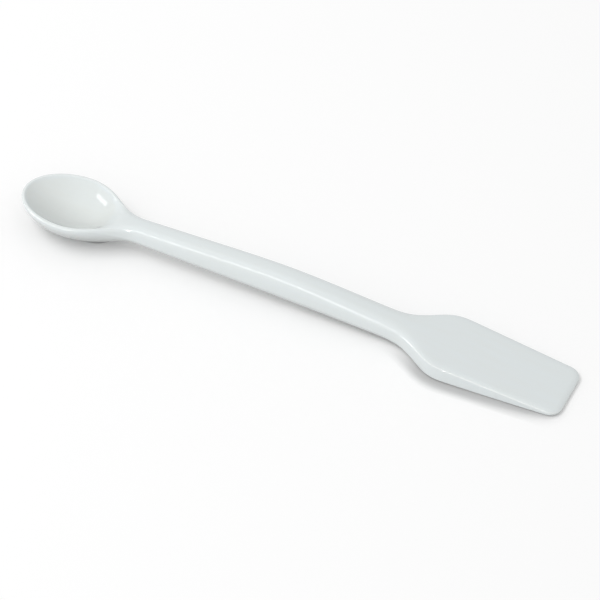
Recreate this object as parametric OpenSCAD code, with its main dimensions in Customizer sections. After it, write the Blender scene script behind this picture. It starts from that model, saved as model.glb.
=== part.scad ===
// Laboratory spatula of glazed porcelain, fired as one piece: an oval spoon bowl, a stiff
// handle and a flat wedge-shaped blade. It lies as it rests on a bench, bowl towards -X and
// blade towards +X, with the origin on the bench under the middle of its length.

/* [Overall] */
// Length from the bowl's tip to the blade's edge
length = 150; // [110:0.5:250]

/* [Bowl] */
// Width of the bowl over its rim
bowl_width = 19.5; // [14:0.1:36]
// Length from the bowl's tip to its widest line
bowl_front = 14.3; // [10:0.1:30]
// Length over which the bowl narrows to the handle
bowl_back = 18.7; // [10:0.1:30]
// Height of the rim above the bench
bowl_height = 8.5; // [7:0.1:14]
// Thickness of the bowl's wall at its rounded rim
rim_thickness = 1.2; // [0.8:0.1:2.4]
// Thickness of the bowl's floor
bowl_floor = 2.7; // [1:0.1:3.5]
// Roundness of the bowl's outside, where 1 is a parabola and more is fuller
bowl_fullness = 1.8; // [1.2:0.05:2.4]
// Roundness of the hollow, on the same scale
hollow_fullness = 1; // [0.8:0.05:1.2]
// Angle from the level at which the rim's round runs into the hollow
lip_angle = 52; // [40:1:70]
// Length from the widest line to the hollow's end at the neck
hollow_back = 13.4; // [7:0.1:20]
// Extra rim width where the hollow runs out at the neck
hollow_lip = 0.4; // [0:0.1:2]

/* [Handle] */
// Width of the handle beside the bowl
neck_width = 5.7; // [5:0.1:12]
// Width of the handle beside the blade
grip_width = 6.9; // [5:0.1:12]
// Height of the handle's top beside the bowl
neck_top = 9.3; // [7:0.1:13]
// Height of the handle's top where its line would meet the blade
grip_top = 10.9; // [8:0.1:14]
// Height of the handle's underside beside the bowl
neck_under = 2.9; // [1:0.1:5]
// Squareness of the handle's section, where 2 is an ellipse
handle_squareness = 3; // [2:0.1:5]
// Length behind the bowl at which the neck's sizes are taken
neck_run = 6; // [2:0.1:12]
// Length before the shoulders at which the grip's sizes are taken
grip_run = 17; // [10:0.1:24]

/* [Blade] */
// Length of the blade from its shoulders to its edge
blade_length = 34; // [24:0.1:60]
// Width across the shoulders
shoulder_width = 18.8; // [14:0.1:34]
// Width of the blade's edge
edge_width = 16.3; // [12:0.1:30]
// Thickness of the blade at its shoulders
shoulder_thickness = 5.3; // [3:0.1:7]
// Thickness of the blade at its edge
edge_thickness = 1.3; // [0.8:0.1:2.5]
// Radius of the edge's two corners in plan
corner_radius = 3.2; // [0.5:0.1:5]
// Angle between the handle and the line that flares to each shoulder
flare_angle = 31.2; // [20:0.1:45]
// Length past the shoulders at which the underside meets the bench
touch_down_run = 6.9; // [2:0.1:14]
// Rise of the underside from the middle of the blade to its edge
edge_rise = 0.15; // [0:0.05:0.4]
// Radius of the rounded arris all along the blade
arris_radius = 0.5; // [0.3:0.05:1.2]
// Width over which the top rolls off to that arris
arris_roll = 1.7; // [0.5:0.1:4]

/* [Blends] */
// How softly the handle's sides sweep into the flare
flare_blend = 3.6; // [1:0.1:5]
// How softly each shoulder is rounded
shoulder_blend = 3.1; // [0.5:0.1:5]
// How softly the handle's top runs into the blade's top
top_blend = 2.6; // [0.5:0.1:5]
// How softly the handle's underside comes down to the bench
under_blend = 0.5; // [0.1:0.05:2]

/* [Hidden] */
// Places along the length
bowl_tip_x = -length / 2;
edge_x = length / 2;
bowl_x = bowl_tip_x + bowl_front;
shoulder_x = edge_x - blade_length;
neck_x = bowl_x + bowl_back + neck_run;
grip_x = shoulder_x - grip_run;
touch_down_x = shoulder_x + touch_down_run;
mid_blade_x = edge_x - blade_length / 2;
// The bowl's section turns into the handle's between these two places
section_start_x = bowl_x + bowl_back / 3;
section_end_x = bowl_x + bowl_back;
// The handle's soft section turns into the blade's square one between these two
square_start_x = grip_x;
square_end_x = shoulder_x;
// The arris takes at most this share of half the blade's thickness
arris_share = 0.9;

// Centre of the rim's rounding, and how far the hollow goes down below it
rim_radius = rim_thickness / 2;
rim_z = bowl_height - rim_radius;
lip_turn = 180 - lip_angle;
lip_fall = rim_radius * (1 - sin(lip_turn));
hollow_depth = bowl_height - lip_fall - bowl_floor;
// Softness of the hollow's end, as a share of its depth
hollow_runout = 0.4;
flare_slope = tan(flare_angle);
blade_taper = (shoulder_width - edge_width) / 2 / blade_length;
// Power of the plan curve that sweeps the bowl's sides into the handle
sweep_power = 1.96;
// The hollow keeps at least this share of the half width
least_hollow_share = 0.3;

// Where the stations are set closer, round the bowl and the shoulders
bowl_end_x = bowl_x + bowl_back + neck_run / 3;
flare_start_x = shoulder_x - ((shoulder_width - grip_width) / 2 + flare_blend) / flare_slope;
shoulder_end_x = shoulder_x + shoulder_blend / (flare_slope + blade_taper);
fan_x = edge_x - edge_width / 2;

// Steps between stations, from the bowl's tip round to the middle of the blade's edge
bowl_fan_steps = 18;
bowl_steps = 18;
handle_steps = 16;
shoulder_steps = 18;
blade_steps = 5;
side_steps = 4;
corner_steps = 7;
edge_steps = 5;
// Steps round half of a section: hollow, rounded rim and outside
hollow_steps = 9;
rim_steps = 6;
outer_steps = 9;
section_steps = hollow_steps + rim_steps + outer_steps;
// The same steps on the blade: from the middle of a face to the middle of the side
half_steps = section_steps / 2;
arris_steps = 6;
side_wall_steps = 2;
face_steps = half_steps - arris_steps - side_wall_steps;

porcelain = "#EDF1F1";

// Soft maximum and minimum of two lengths, equal to the plain ones when they differ by k or more
function soft_max(a, b, k) =
    let (h = max(k - abs(a - b), 0) / k)
    max(a, b) + k * pow(h, 3) / 6;
function soft_min(a, b, k) = -soft_max(-a, -b, k);

// Share of the way from a to b at x, easing in and out
function ease(a, b, x) =
    let (t = min(max((x - a) / (b - a), 0), 1))
    t * t * (3 - 2 * t);

// Value at x of the straight line through (x0, v0) and (x1, v1)
function along(x0, v0, x1, v1, x) = v0 + (v1 - v0) * (x - x0) / (x1 - x0);
function mix(a, b, share) = a + (b - a) * share;

// Plan outline: half of the width at x
function handle_half(x) = along(neck_x, neck_width / 2, grip_x, grip_width / 2, x);
function bowl_half(x) =
    let (s = min(max((x - bowl_x) / bowl_back, 0), 1), side = handle_half(x))
    mix(side, bowl_width / 2, pow(1 - s * s, sweep_power));
function flare_half(x) = shoulder_width / 2 + (x - shoulder_x) * flare_slope;
function blade_half(x) = shoulder_width / 2 - (x - shoulder_x) * blade_taper;
function half_width(x) =
    soft_min(soft_max(bowl_half(x), flare_half(x), flare_blend), blade_half(x), shoulder_blend);

// Side view: heights of the top and of the underside at x
function top_z(x) = soft_min(
    along(neck_x, neck_top, grip_x, grip_top, x),
    along(shoulder_x, shoulder_thickness, edge_x, edge_thickness, x),
    top_blend);
function under_z(x) =
    soft_max(along(neck_x, neck_under, touch_down_x, 0, x), 0, under_blend)
    + edge_rise * pow(max(x - mid_blade_x, 0) / (edge_x - mid_blade_x), 2);

// A station is [x, y, spine_x]: a point of the outline and the place on the middle line that
// its section runs from. Both ends fan out from one place on that line.
function steps_between(a, b, n) = [for (i = [1 : n]) mix(a, b, i / n)];
bowl_fan = [
    for (i = [0 : bowl_fan_steps])
        let (turn = 90 * i / bowl_fan_steps)
        [bowl_x - bowl_front * cos(turn), half_width(bowl_x) * sin(turn), bowl_x]
];
straight_run = [
    for (x = concat(
        steps_between(bowl_x, bowl_end_x, bowl_steps),
        steps_between(bowl_end_x, flare_start_x, handle_steps),
        steps_between(flare_start_x, shoulder_end_x, shoulder_steps),
        steps_between(shoulder_end_x, fan_x, blade_steps)))
        [x, half_width(x), x]
];
corner_turn = 90 - atan(blade_taper);
corner_x = edge_x - corner_radius;
corner_y = blade_half(corner_x) - corner_radius * sqrt(1 + pow(blade_taper, 2));
corner_start_x = corner_x + corner_radius * cos(corner_turn);
blade_fan = concat(
    [for (x = steps_between(fan_x, corner_start_x, side_steps)) [x, half_width(x), fan_x]],
    [
        for (turn = steps_between(corner_turn, 0, corner_steps))
            [corner_x + corner_radius * cos(turn), corner_y + corner_radius * sin(turn), fan_x]
    ],
    [for (y = steps_between(corner_y, 0, edge_steps)) [edge_x, y, fan_x]]);
stations = concat(bowl_fan, straight_run, blade_fan);
last_station = len(stations) - 1;
first_run = bowl_fan_steps;
last_run = last_station - len(blade_fan);

// Handle section: a quarter of a superellipse, as shares of the half width and half height
function handle_spot(step) =
    let (turn = 90 * step / half_steps, power = 2 / handle_squareness)
    [step == 0 ? 0 : pow(sin(turn), power), step == half_steps ? 0 : pow(cos(turn), power)];

// Blade section: a flat face, the round of the arris and half of the upright side
function blade_spot(step, arris_across, arris_up) =
    let (turn = 90 * (step - face_steps) / arris_steps)
    step <= face_steps ? [(1 - arris_across) * step / face_steps, 1]
    : step <= face_steps + arris_steps ?
        [1 - arris_across * (1 - sin(turn)), 1 - arris_up * (1 - cos(turn))]
    : [1, (1 - arris_up) * (half_steps - step) / side_wall_steps];

// Point of the handle or blade. Step 0 is on the middle line above, the last step on the middle
// line below.
function bar_point(station, step) =
    let (
        half_thickness = (top_z(station.x) - under_z(station.x)) / 2,
        reach = norm([station.x - station[2], station.y]),
        arris = min(arris_radius, arris_share * half_thickness),
        roll = step < half_steps ? max(arris_roll, arris) : arris,
        quarter_step = min(step, section_steps - step),
        spot = mix(
            handle_spot(quarter_step),
            blade_spot(quarter_step, roll / reach, arris / half_thickness),
            ease(square_start_x, square_end_x, station.x)),
        x = mix(station[2], station.x, spot[0]),
        rise = step <= half_steps ? spot[1] : -spot[1])
    [x, station.y * spot[0], mix(under_z(x), top_z(x), (1 + rise) / 2)];

// Bowl section: the hollow from the middle out, the rounded rim, then the outside back under
function bowl_curve(share, fullness) = pow(max(1 - share * share, 0), 1 / fullness);
function hollow_share(x) =
    let (s = max(x - bowl_x, 0) / hollow_back)
    soft_max(1 - s * s, 0, hollow_runout);
function bowl_point(station, step) =
    let (
        hollow = hollow_share(station.x),
        reach = norm([station.x - station[2], station.y]),
        rim_width = rim_thickness + hollow_lip * (1 - hollow),
        inner_share = max(1 - rim_width / reach, least_hollow_share),
        inside = sin(90 * step / hollow_steps),
        turn = lip_turn * (1 - (step - hollow_steps) / rim_steps),
        outside = cos(90 * (step - hollow_steps - rim_steps) / outer_steps),
        rim_share = mix(inner_share, 1, (1 + cos(turn)) / 2),
        lip_share = mix(inner_share, 1, (1 + cos(lip_turn)) / 2),
        rim_fall = rim_radius * (1 - sin(turn)),
        hollow_fall = lip_fall + hollow_depth * bowl_curve(inside, hollow_fullness),
        outer_fall = rim_radius + rim_z * bowl_curve(outside, bowl_fullness),
        spot = step < hollow_steps ? [lip_share * inside, hollow_fall * hollow]
            : step <= hollow_steps + rim_steps ? [rim_share, turn > 90 ? rim_fall * hollow : rim_fall]
            : [outside, outer_fall])
    [
        mix(station[2], station.x, spot[0]),
        station.y * spot[0],
        bowl_height - spot[1]
    ];

// One point of the skin: the two sections are mixed beside the bowl
function skin_point(station, step) =
    mix(bowl_point(station, step), bar_point(station, step),
        ease(section_start_x, section_end_x, station.x));

// Points in order: the middle line above and below, the +Y side, then the -Y side without the
// two end stations, which lie on the middle line
run_count = last_run - first_run + 1;
side_rows = section_steps - 1;
skin_points = concat(
    [for (i = [first_run : last_run]) skin_point(stations[i], 0)],
    [for (i = [first_run : last_run]) skin_point(stations[i], section_steps)],
    [for (i = [0 : last_station], step = [1 : side_rows]) skin_point(stations[i], step)],
    [
        for (i = [1 : last_station - 1], step = [1 : side_rows])
            let (p = skin_point(stations[i], step))
            [p.x, -p.y, p.z]
    ]);
function skin_index(i, step, side) =
    let (run = min(max(i, first_run), last_run) - first_run)
    step == 0 ? run
    : step == section_steps ? run_count + run
    : side > 0 || i == 0 || i == last_station ? 2 * run_count + i * side_rows + step - 1
    : 2 * run_count + (last_station + i) * side_rows + step - 1;

// Each patch between two stations is two triangles, or one where the stations share a point
skin_faces = [
    for (side = [1, -1], i = [0 : last_station - 1], step = [0 : section_steps - 1])
        let (
            a = skin_index(i, step, side),
            b = skin_index(i + 1, step, side),
            c = skin_index(i + 1, step + 1, side),
            d = skin_index(i, step + 1, side))
        for (face = [[a, d, c], [a, c, b]])
            if (face[0] != face[1] && face[1] != face[2] && face[2] != face[0])
                side > 0 ? face : [face[0], face[2], face[1]]
];

module spatula() {
    color(porcelain)
        polyhedron(points = skin_points, faces = skin_faces, convexity = 6);
}

spatula();
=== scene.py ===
"""Studio scene of a glazed porcelain lab spatula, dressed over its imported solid.

The spatula is fired as one piece: spoon bowl, handle and blade share one skin and one glaze, so
one class holds it. The studio around it is a white table, a tent of even light and soft boxes.
"""

import logging
import math
from dataclasses import dataclass, field
from enum import Enum
from typing import Any

import bmesh
import bpy
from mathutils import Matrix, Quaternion, Vector


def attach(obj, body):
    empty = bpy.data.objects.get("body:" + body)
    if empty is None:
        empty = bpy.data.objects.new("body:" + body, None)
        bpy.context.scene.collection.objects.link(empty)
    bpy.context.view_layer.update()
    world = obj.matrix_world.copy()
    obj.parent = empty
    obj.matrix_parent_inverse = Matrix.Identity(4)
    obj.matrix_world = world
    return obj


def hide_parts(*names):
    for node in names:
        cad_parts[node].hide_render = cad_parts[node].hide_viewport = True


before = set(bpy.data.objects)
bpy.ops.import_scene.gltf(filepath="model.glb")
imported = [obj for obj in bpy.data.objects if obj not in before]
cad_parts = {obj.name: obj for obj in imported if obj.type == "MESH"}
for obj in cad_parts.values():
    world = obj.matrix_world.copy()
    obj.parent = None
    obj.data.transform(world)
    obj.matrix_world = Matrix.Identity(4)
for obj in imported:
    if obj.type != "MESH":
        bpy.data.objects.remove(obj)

LOG = logging.getLogger("spatula")
MM = 0.001
WHITE = "#FFFFFF"
BLACK = "#000000"

# A Mix node has sockets of one name for each type of value, so its colours go by number.
MIX_SHARE, MIX_FIRST, MIX_SECOND = 0, 6, 7
MIXED_COLOUR = 2


class Reach(Enum):
    """What the light of a lamp falls on."""

    ALL = "table and spatula"
    SPATULA = "spatula alone"


class Duty(Enum):
    """What a lamp is there for."""

    SHADES = "lights the form"
    GLINTS = "shows as a glint in the glaze"


class Ray(Enum):
    """Kinds of ray that see the white of the table and the tent, by their Light Path output."""

    CAMERA = "Is Camera Ray"
    GLOSSY = "Is Glossy Ray"
    TRANSMISSION = "Is Transmission Ray"


def linear(code: str) -> tuple[float, float, float, float]:
    """Turns an sRGB hex colour to linear light.

    Args:
        code: The colour as "#RRGGBB".

    Returns:
        Red, green, blue and a full alpha.
    """
    shares = [int(code[i : i + 2], 16) / 255 for i in (1, 3, 5)]
    red, green, blue = (
        s / 12.92 if s <= 0.04045 else ((s + 0.055) / 1.055) ** 2.4 for s in shares
    )
    return red, green, blue, 1.0


def direction(azimuth: float, elevation: float) -> Vector:
    """Gives the direction from the spatula to a place round it.

    Args:
        azimuth: Degrees from -Y towards +X.
        elevation: Degrees above the table.

    Returns:
        A vector of length 1.
    """
    a, e = math.radians(azimuth), math.radians(elevation)
    return Vector((math.sin(a) * math.cos(e), -math.cos(a) * math.cos(e), math.sin(e)))


def add_node(
    tree: bpy.types.NodeTree,
    kind: str,
    inputs: dict[str | int, Any] | None = None,
    **settings: Any,
) -> bpy.types.Node:
    """Adds one node with its settings and links.

    Args:
        tree: The node tree that takes the node.
        kind: Blender's name for the kind of node.
        inputs: A value, or the output to link, for each input by name or number.
        settings: Properties of the node itself.

    Returns:
        The new node.
    """
    node = tree.nodes.new(kind)
    for name, value in settings.items():
        setattr(node, name, value)
    for name, value in (inputs or {}).items():
        if isinstance(value, bpy.types.NodeSocket):
            tree.links.new(value, node.inputs[name])
        else:
            node.inputs[name].default_value = value
    return node


def white_rays(tree: bpy.types.NodeTree) -> bpy.types.NodeSocket:
    """Adds nodes that tell the rays that see the studio's white from those that carry light.

    Args:
        tree: The node tree of the table or the tent.

    Returns:
        An output that is 1 for a camera, glossy or transmission ray, and 0 for the rest.
    """
    path = add_node(tree, "ShaderNodeLightPath")
    seen = path.outputs[Ray.CAMERA.value]
    for ray in (Ray.GLOSSY, Ray.TRANSMISSION):
        either = add_node(
            tree, "ShaderNodeMath", {0: seen, 1: path.outputs[ray.value]}, operation="MAXIMUM"
        )
        seen = either.outputs[0]
    return seen


@dataclass(frozen=True)
class GlazedPorcelain:
    """White porcelain dipped in clear glaze and fired, with all of its surface glazed.

    Attributes:
        body: Colour through an even coat of glaze.
        pooled: Colour where the glaze has gathered in a hollow.
        painted_underside_shade: Colour painted as shade where the skin faces down under the piece.
        thinned: Colour where the glaze has run off an edge.
        roughness: Roughness of the fired glaze where it is even.
        roughness_spread: Factors on that where the coat is thinnest and where it is thickest.
        ior: Refractive index of a feldspar glaze.
        mottle_mm: Size of the slow changes in the coat's thickness.
        mottle_detail: Octaves of finer change in them.
        mottle_share: Their weight against that of the runs, which is 1.
        run_mm: Length and width of the faint runs that the dip leaves along the handle.
        run_detail: Octaves of finer change in the runs.
        coat_range: Sums of both at which the coat is thinnest and thickest.
        coat_share: How far an uneven coat alone goes towards the pooled colour.
        peel_mm: Spacing of the slight waves in the glaze.
        peel_detail: Octaves of finer change in the waves.
        peel_height_mm: Height of those waves.
        hollow_curve: Mean curvature, per mm, at which a hollow holds the most glaze.
        edge_curve: Mean curvature, per mm, where an edge begins to thin the glaze and where it
            holds the least.
        underside_shade_drop: How far down a face looks, up to 1, where the painted shade begins
            and where it is full.
    """

    body: str = "#D0D6D7"
    pooled: str = "#CFD3D1"
    painted_underside_shade: str = "#BABDBC"
    thinned: str = "#D8DCDB"
    roughness: float = 0.07
    roughness_spread: tuple[float, float] = (1.3, 0.7)
    ior: float = 1.52
    mottle_mm: float = 9.0
    mottle_detail: float = 3.0
    mottle_share: float = 0.7
    run_mm: tuple[float, float] = (45.0, 1.4)
    run_detail: float = 2.0
    coat_range: tuple[float, float] = (0.55, 1.15)
    coat_share: float = 0.45
    peel_mm: float = 2.2
    peel_detail: float = 1.0
    peel_height_mm: float = 0.004
    hollow_curve: float = -0.12
    edge_curve: tuple[float, float] = (0.4, 1.6)
    underside_shade_drop: tuple[float, float] = (0.08, 0.42)

    def material(self) -> bpy.types.Material:
        """Makes the glaze's material.

        Returns:
            The material, which reads the piece's own glaze_curve and facing_down attributes.
        """
        # A clear feldspar glaze over a white body: cool white, deeper where the glaze is thick,
        # paler and warmer where it thins, with sharp highlights that waver a little, and with
        # shade painted darker where the skin faces down.
        made = bpy.data.materials.new("glazed_porcelain_with_painted_underside_shade")
        made.use_nodes = True
        tree = made.node_tree
        tree.nodes.clear()
        place = add_node(tree, "ShaderNodeTexCoord").outputs["Object"]
        curve = add_node(tree, "ShaderNodeAttribute", attribute_name="glaze_curve").outputs["Fac"]
        drop = add_node(tree, "ShaderNodeAttribute", attribute_name="facing_down").outputs["Fac"]

        # How thick the coat is, from 0 to 1.
        mottle = add_node(
            tree,
            "ShaderNodeTexNoise",
            {
                "Vector": place,
                "Scale": 1 / (self.mottle_mm * MM),
                "Detail": self.mottle_detail,
            },
        )
        length, width = self.run_mm
        along = add_node(
            tree,
            "ShaderNodeMapping",
            {"Vector": place, "Scale": (1 / (length * MM), 1 / (width * MM), 1 / (width * MM))},
        )
        runs = add_node(
            tree,
            "ShaderNodeTexNoise",
            {"Vector": along.outputs[0], "Scale": 1.0, "Detail": self.run_detail},
        )
        uneven = add_node(
            tree,
            "ShaderNodeMath",
            {0: mottle.outputs["Fac"], 1: self.mottle_share, 2: runs.outputs["Fac"]},
            operation="MULTIPLY_ADD",
        )
        thinnest, thickest = self.coat_range
        coat = add_node(
            tree,
            "ShaderNodeMapRange",
            {"Value": uneven.outputs[0], "From Min": thinnest, "From Max": thickest},
        )

        # Where the form gathers the glaze and where it sheds it, and where shade is painted under
        # it.
        hollow = add_node(
            tree,
            "ShaderNodeMapRange",
            {"Value": curve, "From Min": 0.0, "From Max": self.hollow_curve},
        )
        thick = add_node(
            tree,
            "ShaderNodeMath",
            {0: coat.outputs[0], 1: self.coat_share, 2: hollow.outputs[0]},
            operation="MULTIPLY_ADD",
            use_clamp=True,
        )
        # Painted shade: darker where the skin faces down, under the piece.
        under = add_node(
            tree,
            "ShaderNodeMapRange",
            {"Value": drop, "From Min": self.underside_shade_drop[0], "From Max": self.underside_shade_drop[1]},
        )
        edge = add_node(
            tree,
            "ShaderNodeMapRange",
            {"Value": curve, "From Min": self.edge_curve[0], "From Max": self.edge_curve[1]},
        )
        # Over the body go the pooled glaze, the painted shade under the piece and the thinned
        # glaze.
        colour = linear(self.body)
        for share, tone in ((thick, self.pooled), (under, self.painted_underside_shade), (edge, self.thinned)):
            mixed = add_node(
                tree,
                "ShaderNodeMix",
                {MIX_SHARE: share.outputs[0], MIX_FIRST: colour, MIX_SECOND: linear(tone)},
                data_type="RGBA",
            )
            colour = mixed.outputs[MIXED_COLOUR]

        # The fired surface, smoother where the coat is thick, with its slight waves.
        dull, clear = self.roughness_spread
        gloss = add_node(
            tree,
            "ShaderNodeMapRange",
            {
                "Value": coat.outputs[0],
                "To Min": self.roughness * dull,
                "To Max": self.roughness * clear,
            },
        )
        peel = add_node(
            tree,
            "ShaderNodeTexNoise",
            {"Vector": place, "Scale": 1 / (self.peel_mm * MM), "Detail": self.peel_detail},
        )
        waves = add_node(
            tree,
            "ShaderNodeBump",
            {"Height": peel.outputs["Fac"], "Distance": self.peel_height_mm * MM, "Strength": 1.0},
        )
        shader = add_node(
            tree,
            "ShaderNodeBsdfPrincipled",
            {
                "Base Color": colour,
                "Roughness": gloss.outputs[0],
                "IOR": self.ior,
                "Normal": waves.outputs[0],
            },
        )
        add_node(tree, "ShaderNodeOutputMaterial", {"Surface": shader.outputs[0]})
        return made


@dataclass(frozen=True)
class WhiteTable:
    """Matt white table that runs on into the tent, with the spatula's shadow left on it and a
    contact shadow painted into its colour near the bowl and the blade.

    Attributes:
        paint: Colour of the table.
        lift: Share of white that is added where the table is seen, never to the light on it.
        contact_mm: Distance within which a shadow is painted into the table's colour round the
            bowl.
        blade_contact_mm: The same for the blade, which lies on the table.
        handle_mm: Where along the handle the first distance turns into the second.
        neck_mm: Where along the neck the bowl's painted shadow ends.
        blade_spot_mm: Middle of the blade's near edge, in X and Y.
        blade_reach_mm: How far from there the blade's painted shadow ends, in X and Y.
        blade_core: Share of that way in, from its end, where the painted shadow is full.
        deepening: Power that draws the painted shadow in towards the spatula.
        least: Share of the paint's colour that the painted shadow leaves where the spatula meets
            the table.
    """

    paint: str = "#FAFAFA"
    lift: float = 0.06
    contact_mm: float = 0.95
    blade_contact_mm: float = 4.0
    handle_mm: tuple[float, float] = (-30.0, -10.0)
    neck_mm: tuple[float, float] = (-45.0, -35.0)
    blade_spot_mm: tuple[float, float] = (53.0, -9.5)
    blade_reach_mm: tuple[float, float] = (30.0, 13.0)
    blade_core: float = 0.6
    deepening: float = 2.0
    least: float = 0.52

    def material(self) -> bpy.types.Material:
        """Makes the table's material.

        Returns:
            The material.
        """
        # Matt paint has no highlights, so the table gives an even white and a soft shadow, and a
        # contact shadow is painted into its colour near the spatula.
        made = bpy.data.materials.new("matt_white_table_with_painted_contact_shadow")
        made.use_nodes = True
        tree = made.node_tree
        tree.nodes.clear()
        seen = white_rays(tree)
        strength = add_node(tree, "ShaderNodeMath", {0: seen, 1: self.lift}, operation="MULTIPLY")
        place = add_node(tree, "ShaderNodeTexCoord").outputs["Object"]
        along = add_node(tree, "ShaderNodeSeparateXYZ", {0: place})

        # How deep the shadow painted into the table's colour is close to the spatula.
        near = add_node(
            tree,
            "ShaderNodeMapRange",
            {
                "Value": along.outputs["X"],
                "From Min": self.handle_mm[0] * MM,
                "From Max": self.handle_mm[1] * MM,
                "To Min": self.contact_mm * MM,
                "To Max": self.blade_contact_mm * MM,
            },
        )
        hidden = add_node(tree, "ShaderNodeAmbientOcclusion", {"Distance": near.outputs[0]})
        drawn_in = add_node(
            tree,
            "ShaderNodeMath",
            {0: hidden.outputs["AO"], 1: self.deepening},
            operation="POWER",
        )
        deep = add_node(
            tree, "ShaderNodeMath", {0: drawn_in.outputs[0], 1: self.least}, operation="MAXIMUM"
        )

        # Where that painted shadow shows: round the bowl and along the blade's near edge, to the
        # rays that see the table, so that it takes no light from the spatula.
        bowl = add_node(
            tree,
            "ShaderNodeMapRange",
            {
                "Value": along.outputs["X"],
                "From Min": self.neck_mm[0] * MM,
                "From Max": self.neck_mm[1] * MM,
                "To Min": 1.0,
                "To Max": 0.0,
            },
        )
        around = add_node(
            tree,
            "ShaderNodeMapping",
            {
                "Vector": place,
                "Location": (self.blade_spot_mm[0] * MM, self.blade_spot_mm[1] * MM, 0.0),
                "Scale": (self.blade_reach_mm[0] * MM, self.blade_reach_mm[1] * MM, 1.0),
            },
            vector_type="TEXTURE",
        )
        spot = add_node(
            tree, "ShaderNodeTexGradient", {0: around.outputs[0]}, gradient_type="SPHERICAL"
        )
        blade = add_node(
            tree,
            "ShaderNodeMapRange",
            {"Value": spot.outputs["Fac"], "From Max": self.blade_core},
            interpolation_type="SMOOTHSTEP",
        )
        share = add_node(
            tree, "ShaderNodeMath", {0: bowl.outputs[0], 1: blade.outputs[0]}, operation="MAXIMUM"
        )
        shown = add_node(
            tree, "ShaderNodeMath", {0: share.outputs[0], 1: seen}, operation="MULTIPLY"
        )
        lit = add_node(
            tree,
            "ShaderNodeMapRange",
            {"Value": shown.outputs[0], "To Min": 1.0, "To Max": deep.outputs[0]},
        )
        # The table's paint darkened towards black by the painted contact shadow.
        contact = add_node(
            tree,
            "ShaderNodeMix",
            {
                MIX_SHARE: lit.outputs[0],
                MIX_FIRST: linear(BLACK),
                MIX_SECOND: linear(self.paint),
            },
            data_type="RGBA",
        )
        shader = add_node(
            tree,
            "ShaderNodeBsdfPrincipled",
            {
                "Base Color": contact.outputs[MIXED_COLOUR],
                "Roughness": 1.0,
                "Specular IOR Level": 0.0,
                "Emission Color": linear(WHITE),
                "Emission Strength": strength.outputs[0],
            },
        )
        add_node(tree, "ShaderNodeOutputMaterial", {"Surface": shader.outputs[0]})
        return made


@dataclass
class Spatula:
    """The whole spatula, as one glazed skin over its solid.

    Attributes:
        node: Name of the solid that it stands for.
        body: Name of the body that it rides on.
        slot: The record's material slot; not used.
        weld_mm: Distance within which the solid's loose corners are one point.
        flat_degrees: Largest turn between two triangles that make one patch.
        smoothing: Levels of subdivision of the skin.
        glaze: Its finish, with shade painted where it faces down.
    """

    node: str = "spatula"
    body: str = "root"
    slot: str = "porcelain"
    weld_mm: float = 0.002
    flat_degrees: float = 40.0
    smoothing: int = 2
    glaze: GlazedPorcelain = field(default_factory=GlazedPorcelain)

    def build(self) -> bpy.types.Object:
        """Makes the skin from a copy of the solid's mesh and dresses it.

        Returns:
            The finished piece.
        """
        skin = bmesh.new()
        skin.from_mesh(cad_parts[self.node].data)
        bmesh.ops.remove_doubles(skin, verts=skin.verts, dist=self.weld_mm * MM)
        turn = math.radians(self.flat_degrees)
        bmesh.ops.join_triangles(
            skin, faces=skin.faces, angle_face_threshold=turn, angle_shape_threshold=math.pi
        )
        self.mark_glaze_and_shade(skin)
        for face in skin.faces:
            face.smooth = True
        mesh = bpy.data.meshes.new("glazed_spatula")
        skin.to_mesh(mesh)
        skin.free()
        piece = bpy.data.objects.new("glazed_spatula", mesh)
        bpy.context.scene.collection.objects.link(piece)
        rounds = piece.modifiers.new("rounded_skin", "SUBSURF")
        rounds.levels = rounds.render_levels = self.smoothing
        self.dress(piece)
        return piece

    def mark_glaze_and_shade(self, skin: bmesh.types.BMesh) -> None:
        """Writes on the skin what tells how thick the glaze is and where shade is painted.

        Args:
            skin: The skin's mesh, which gains glaze_curve, the mean curvature per mm and over 0
            on an edge, and facing_down, which is 1 where the skin looks straight down and
            sets the painted shade.
        """
        skin.normal_update()
        curve = skin.verts.layers.float.new("glaze_curve")
        drop = skin.verts.layers.float.new("facing_down")
        for vert in skin.verts:
            bend = sum(e.calc_length() * e.calc_face_angle_signed(0.0) for e in vert.link_edges)
            area = sum(f.calc_area() / len(f.verts) for f in vert.link_faces)
            # Half of each edge's bend is this point's, and the mean is half of two curvatures.
            vert[curve] = bend / (4 * area) * MM
            # How far the skin faces down, which sets the shade painted under the piece.
            vert[drop] = -vert.normal.z

    def dress(self, piece: bpy.types.Object) -> None:
        """Gives the piece its glaze and ties it to the frame.

        Args:
            piece: The skin.
        """
        piece.data.materials.append(self.glaze.material())
        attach(piece, self.body)
        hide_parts(self.node)


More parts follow.
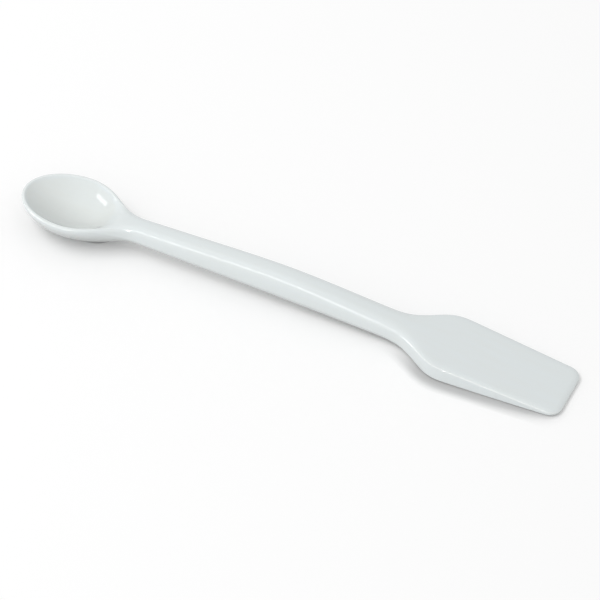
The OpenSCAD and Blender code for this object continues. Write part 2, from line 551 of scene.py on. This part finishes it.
@dataclass(frozen=True)
class SoftBox:
    """A soft rectangular lamp that faces the spatula.

    Attributes:
        name: What the lamp is for.
        azimuth: Degrees from -Y towards +X.
        elevation: Degrees above the table.
        width_mm: Width of its front.
        height_mm: Height of its front.
        brightness: Brightness of its front, where 1 is white.
        duty: Whether it lights the form or shows as a glint.
        reach: What it lights.
        roll: Degrees that its front is turned, clockwise as the spatula sees it.
        distance_mm: Distance from the origin.
    """

    name: str
    azimuth: float
    elevation: float
    width_mm: float
    height_mm: float
    brightness: float
    duty: Duty = Duty.SHADES
    reach: Reach = Reach.ALL
    roll: float = 0.0
    distance_mm: float = 1000.0

    def build(self, piece: bpy.types.Object) -> None:
        """Makes the lamp.

        Args:
            piece: The spatula, for a lamp that lights it alone.
        """
        lamp = bpy.data.lights.new(self.name, "AREA")
        lamp.shape = "RECTANGLE"
        lamp.size = self.width_mm * MM
        lamp.size_y = self.height_mm * MM
        # A flat front gives off pi times its brightness for each square metre.
        lamp.energy = self.brightness * math.pi * lamp.size * lamp.size_y
        made = bpy.data.objects.new(self.name, lamp)
        away = direction(self.azimuth, self.elevation)
        made.location = away * self.distance_mm * MM
        faced = (-away).to_track_quat("-Z", "Y")
        turned = Quaternion((0, 0, 1), math.radians(self.roll))
        made.rotation_euler = (faced @ turned).to_euler()
        made.visible_camera = False
        made.visible_diffuse = self.duty is Duty.SHADES
        made.visible_glossy = self.duty is Duty.GLINTS
        bpy.context.scene.collection.objects.link(made)
        if self.reach is Reach.SPATULA:
            lit = bpy.data.collections.new(f"lit_by_{self.name}")
            lit.objects.link(piece)
            made.light_linking.receiver_collection = lit


@dataclass
class Studio:
    """White table, tent of even light, soft boxes and camera.

    Attributes:
        table_mm: Radius of the table.
        table_sides: Number of straight sides that its round edge is made of.
        table_drop_mm: How far the table lies under the spatula's lowest face.
        table: The table's finish.
        tent_level: Level of the even light from all sides.
        boxes: The lamps.
        camera_azimuth: Degrees from -Y towards +X.
        camera_elevation: Degrees above the table.
        camera_distance_mm: Distance from the point that the camera aims at.
        aim_mm: That point.
        focal_px: Focal length in pixels of a picture frame_px wide.
        frame_px: Width and height of the picture.
        sensor_mm: Width of the camera's sensor.
    """

    table_mm: float = 4000.0
    table_sides: int = 96
    table_drop_mm: float = 0.03
    table: WhiteTable = field(default_factory=WhiteTable)
    tent_level: float = 0.75
    boxes: tuple[SoftBox, ...] = (
        SoftBox("left_box", -64.0, 60.0, 620.0, 420.0, 3.3),
        SoftBox("front_fill", -20.0, 33.0, 620.0, 420.0, 4.0, reach=Reach.SPATULA),
        SoftBox("left_strip", -64.0, 25.2, 390.0, 100.0, 5.0, Duty.GLINTS, Reach.SPATULA, 18.0),
        SoftBox("front_strip", -13.0, 20.5, 590.0, 180.0, 6.0, Duty.GLINTS, Reach.SPATULA),
        SoftBox("low_left_strip", -53.0, 7.0, 440.0, 150.0, 20.0, Duty.GLINTS, Reach.SPATULA),
        SoftBox("low_front_strip", -5.5, 8.0, 140.0, 170.0, 45.0, Duty.GLINTS, Reach.SPATULA),
    )
    camera_azimuth: float = 25.604
    camera_elevation: float = 46.163
    camera_distance_mm: float = 930.7
    aim_mm: tuple[float, float, float] = (2.972, -1.474, 3.0)
    focal_px: float = 3758.0
    frame_px: int = 600
    sensor_mm: float = 36.0

    def build(self, piece: bpy.types.Object) -> None:
        """Makes the table, the tent, the lamps and the camera.

        Args:
            piece: The spatula.
        """
        bpy.context.scene.view_settings.view_transform = "Standard"
        self.lay_table()
        self.hang_tent()
        for box in self.boxes:
            box.build(piece)
            LOG.info("lamp %s %s, on %s", box.name, box.duty.value, box.reach.value)
        self.set_camera()

    def lay_table(self) -> None:
        """Makes the table's top."""
        top = bmesh.new()
        bmesh.ops.create_circle(
            top, cap_ends=True, segments=self.table_sides, radius=self.table_mm * MM
        )
        bmesh.ops.translate(top, verts=top.verts, vec=(0, 0, -self.table_drop_mm * MM))
        mesh = bpy.data.meshes.new("table")
        top.to_mesh(mesh)
        top.free()
        made = bpy.data.objects.new("table", mesh)
        mesh.materials.append(self.table.material())
        bpy.context.scene.collection.objects.link(made)

    def hang_tent(self) -> None:
        """Makes the tent's even light, which is seen as white."""
        world = bpy.data.worlds.new("light_tent")
        world.use_nodes = True
        tree = world.node_tree
        tree.nodes.clear()
        level = add_node(
            tree,
            "ShaderNodeMapRange",
            {"Value": white_rays(tree), "To Min": self.tent_level, "To Max": 1.0},
        )
        light = add_node(
            tree, "ShaderNodeBackground", {"Color": linear(WHITE), "Strength": level.outputs[0]}
        )
        add_node(tree, "ShaderNodeOutputWorld", {"Surface": light.outputs[0]})
        bpy.context.scene.world = world

    def set_camera(self) -> None:
        """Makes the camera at the picture's viewpoint."""
        lens = bpy.data.cameras.new("camera")
        lens.sensor_width = self.sensor_mm
        lens.lens = self.focal_px / self.frame_px * self.sensor_mm
        made = bpy.data.objects.new("camera", lens)
        away = direction(self.camera_azimuth, self.camera_elevation)
        made.location = (Vector(self.aim_mm) + away * self.camera_distance_mm) * MM
        made.rotation_euler = (-away).to_track_quat("-Z", "Y").to_euler()
        bpy.context.scene.collection.objects.link(made)
        bpy.context.scene.camera = made


def main() -> None:
    """Builds the spatula and its studio."""
    logging.basicConfig(level=logging.INFO, format="%(name)s: %(message)s")
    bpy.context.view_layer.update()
    piece = Spatula().build()
    LOG.info("piece %s with %d patches", piece.name, len(piece.data.polygons))
    Studio().build(piece)


if __name__ == "__main__":
    main()
